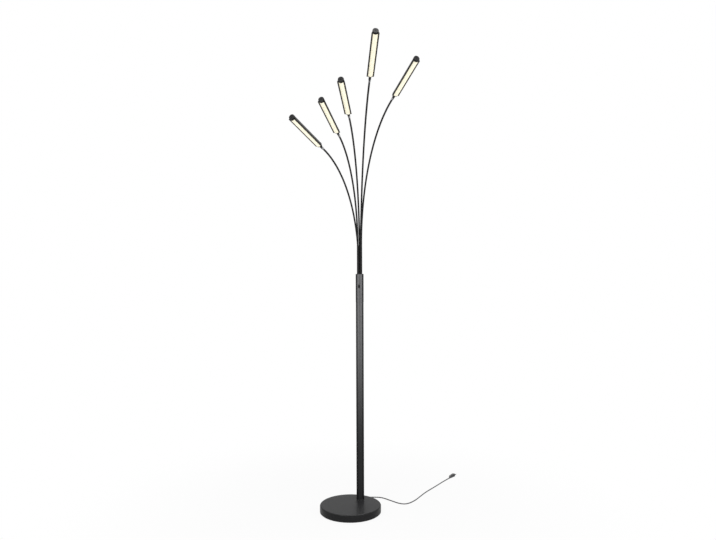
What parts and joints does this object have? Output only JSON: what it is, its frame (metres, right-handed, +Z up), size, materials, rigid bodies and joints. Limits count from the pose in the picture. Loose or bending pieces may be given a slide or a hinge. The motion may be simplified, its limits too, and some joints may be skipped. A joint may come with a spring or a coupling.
{
  "type": "floor lamp",
  "caption": "Tree floor lamp: round weighted base, off-centre post with a push button and a fan of arched arms, each ending in a swivelling, tilting LED bar head.",
  "frame": {"origin": "centre of the round base's underside, on the floor", "axes": "+Z up along the post, the arms arch forwards towards -Y, +X to the right as seen from the front, where the post stands to the right of the base's centre"},
  "size_m": [0.7012, 1.0917, 1.775],
  "materials": {
    "black_paint": "satin black powder coat",
    "black_ring": "satin black powder coat",
    "black_alloy": "satin black powder coat",
    "iron": "rough casting",
    "steel": "zinc plated",
    "chrome": "polished",
    "opal": "warm white opal",
    "board": "white circuit board",
    "end_cap": "black",
    "module": "black",
    "button": "glossy black",
    "pad": "foam rubber",
    "cord": "black flex",
    "tie": "black",
    "plug": "black",
    "pins": "nickel plated"
  },
  "bodies": {
    "lamp": {"base_cover": "black_paint", "base_weight": "iron", "floor_pad": "pad", "base_nut": "steel", "post_foot": "steel", "post_lower": "black_paint", "post_coupler": "black_ring", "post_upper": "black_paint", "arm_socket": "black_alloy", "socket_screw": "steel", "dimmer_module": "module", "cord_bush": "cord", "cord_lead": "cord", "cord_hank": "cord", "mains_lead": "cord", "cord_tie": "tie", "mains_plug": "plug", "plug_pins": "pins", "arm_rod_1": "black_paint", "arm_rod_2": "black_paint", "arm_rod_3": "black_paint", "arm_rod_4": "black_paint", "arm_rod_5": "black_paint"},
    "swivel_1_body": {"swivel_fork_1": "chrome"},
    "head_1": {"head_tongue_1": "chrome", "root_cap_1": "black_alloy", "head_housing_1": "black_alloy", "led_board_1": "board", "diffuser_1": "opal", "tip_cap_1": "end_cap"},
    "swivel_2_body": {"swivel_fork_2": "chrome"},
    "head_2": {"head_tongue_2": "chrome", "root_cap_2": "black_alloy", "head_housing_2": "black_alloy", "led_board_2": "board", "diffuser_2": "opal", "tip_cap_2": "end_cap"},
    "swivel_3_body": {"swivel_fork_3": "chrome"},
    "head_3": {"head_tongue_3": "chrome", "root_cap_3": "black_alloy", "head_housing_3": "black_alloy", "led_board_3": "board", "diffuser_3": "opal", "tip_cap_3": "end_cap"},
    "swivel_4_body": {"swivel_fork_4": "chrome"},
    "head_4": {"head_tongue_4": "chrome", "root_cap_4": "black_alloy", "head_housing_4": "black_alloy", "led_board_4": "board", "diffuser_4": "opal", "tip_cap_4": "end_cap"},
    "swivel_5_body": {"swivel_fork_5": "chrome"},
    "head_5": {"head_tongue_5": "chrome", "root_cap_5": "black_alloy", "head_housing_5": "black_alloy", "led_board_5": "board", "diffuser_5": "opal", "tip_cap_5": "end_cap"},
    "button": {"push_button": "button"}
  },
  "joints": [
    {"name": "swivel_1", "type": "hinge", "parent": "lamp", "child": "swivel_1_body", "pos_m": [-0.09782, -0.25019, 1.44819], "axis": [-0.3783, -0.8783, 0.2924], "range_deg": [-165, 165]},
    {"name": "tilt_1", "type": "hinge", "parent": "swivel_1_body", "child": "head_1", "pos_m": [-0.09782, -0.25019, 1.44819], "axis": [0.9184, -0.3955, 0], "range_deg": [-80, 80]},
    {"name": "swivel_2", "type": "hinge", "parent": "lamp", "child": "swivel_2_body", "pos_m": [-0.03718, -0.22781, 1.50024], "axis": [-0.2169, -0.9174, 0.3338], "range_deg": [-165, 165]},
    {"name": "tilt_2", "type": "hinge", "parent": "swivel_2_body", "child": "head_2", "pos_m": [-0.03718, -0.22781, 1.50024], "axis": [0.9732, -0.23, 0], "range_deg": [-80, 80]},
    {"name": "swivel_3", "type": "hinge", "parent": "lamp", "child": "swivel_3_body", "pos_m": [0.00279, -0.29821, 1.55538], "axis": [-0.0962, -0.9467, 0.3074], "range_deg": [-165, 165]},
    {"name": "tilt_3", "type": "hinge", "parent": "swivel_3_body", "child": "head_3", "pos_m": [0.00279, -0.29821, 1.55538], "axis": [0.9949, -0.1011, 0], "range_deg": [-80, 80]},
    {"name": "swivel_4", "type": "hinge", "parent": "lamp", "child": "swivel_4_body", "pos_m": [0.07732, -0.38477, 1.66441], "axis": [0.065, -0.9069, 0.4163], "range_deg": [-165, 165]},
    {"name": "tilt_4", "type": "hinge", "parent": "swivel_4_body", "child": "head_4", "pos_m": [0.07732, -0.38477, 1.66441], "axis": [0.9974, 0.0715, 0], "range_deg": [-80, 80]},
    {"name": "swivel_5", "type": "hinge", "parent": "lamp", "child": "swivel_5_body", "pos_m": [0.16327, -0.3019, 1.61907], "axis": [0.2787, -0.9005, 0.3338], "range_deg": [-165, 165]},
    {"name": "tilt_5", "type": "hinge", "parent": "swivel_5_body", "child": "head_5", "pos_m": [0.16327, -0.3019, 1.61907], "axis": [0.9553, 0.2957, 0], "range_deg": [-80, 80]},
    {"name": "button_press", "type": "slide", "parent": "lamp", "child": "button", "axis": [0.165, 0.9863, 0], "range_m": [0, 0.0012], "stiffness_N_per_m": 1500, "springref_m": -0.0006}
  ]
}
